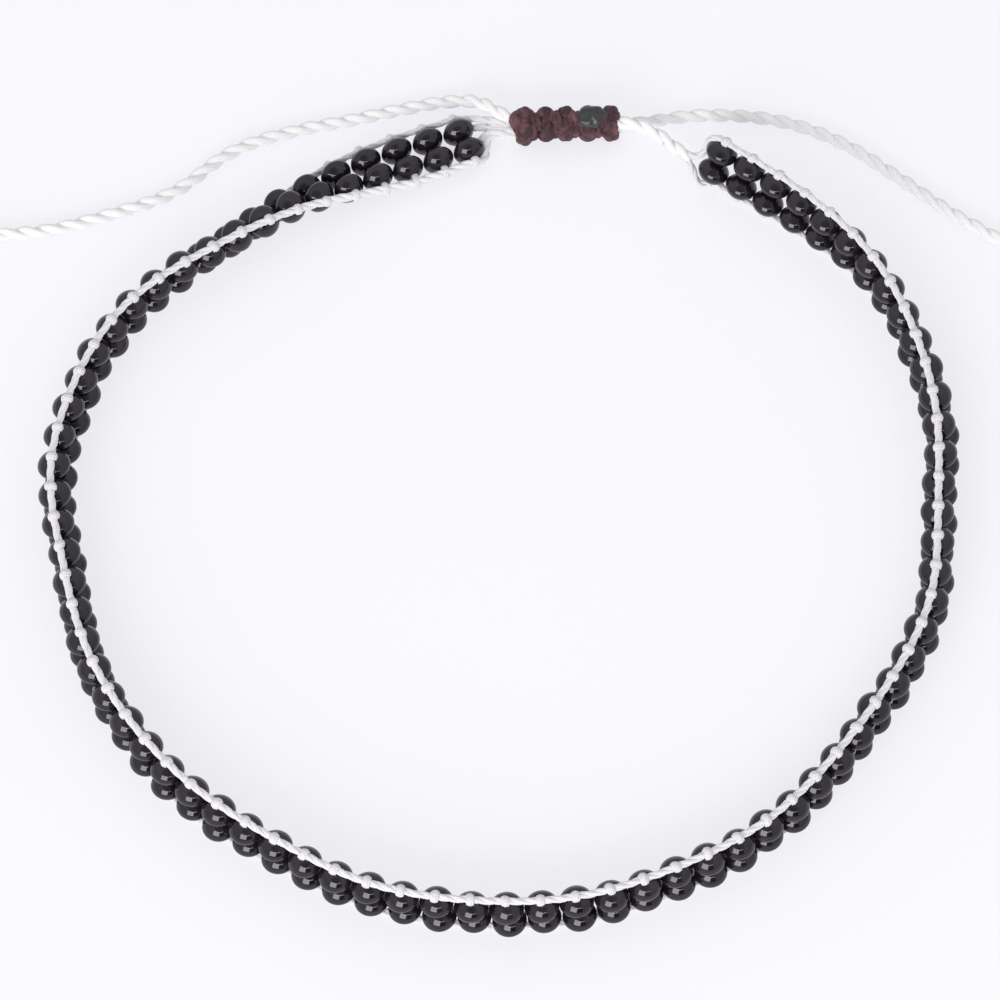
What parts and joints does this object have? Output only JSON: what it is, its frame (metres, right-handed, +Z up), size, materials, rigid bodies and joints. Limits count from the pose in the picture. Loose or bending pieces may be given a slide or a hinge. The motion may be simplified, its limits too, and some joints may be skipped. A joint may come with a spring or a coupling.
{
  "type": "woven beaded bracelet",
  "caption": "Ladder-woven band of black seed beads, closed by a sliding knot on two white cords whose tails lie loose.",
  "frame": {"origin": "on the table, under the middle of the band and the sliding knot seen from above", "axes": "+Z up from the table, +Y from the front of the loop to its closure, +X to the right seen from the front"},
  "size_m": [0.0764, 0.0621, 0.0042],
  "materials": {
    "bead_glass": "gloss",
    "knot_yarn": "waxed yarn",
    "white_cord": "laid cord"
  },
  "bodies": {
    "root": {"beaded_band": "bead_glass", "sliding_knot": "knot_yarn", "left_end_cord": "white_cord", "right_end_cord": "white_cord", "left_tail_stopper": "white_cord", "right_tail_stopper": "white_cord"}
  },
  "joints": []
}
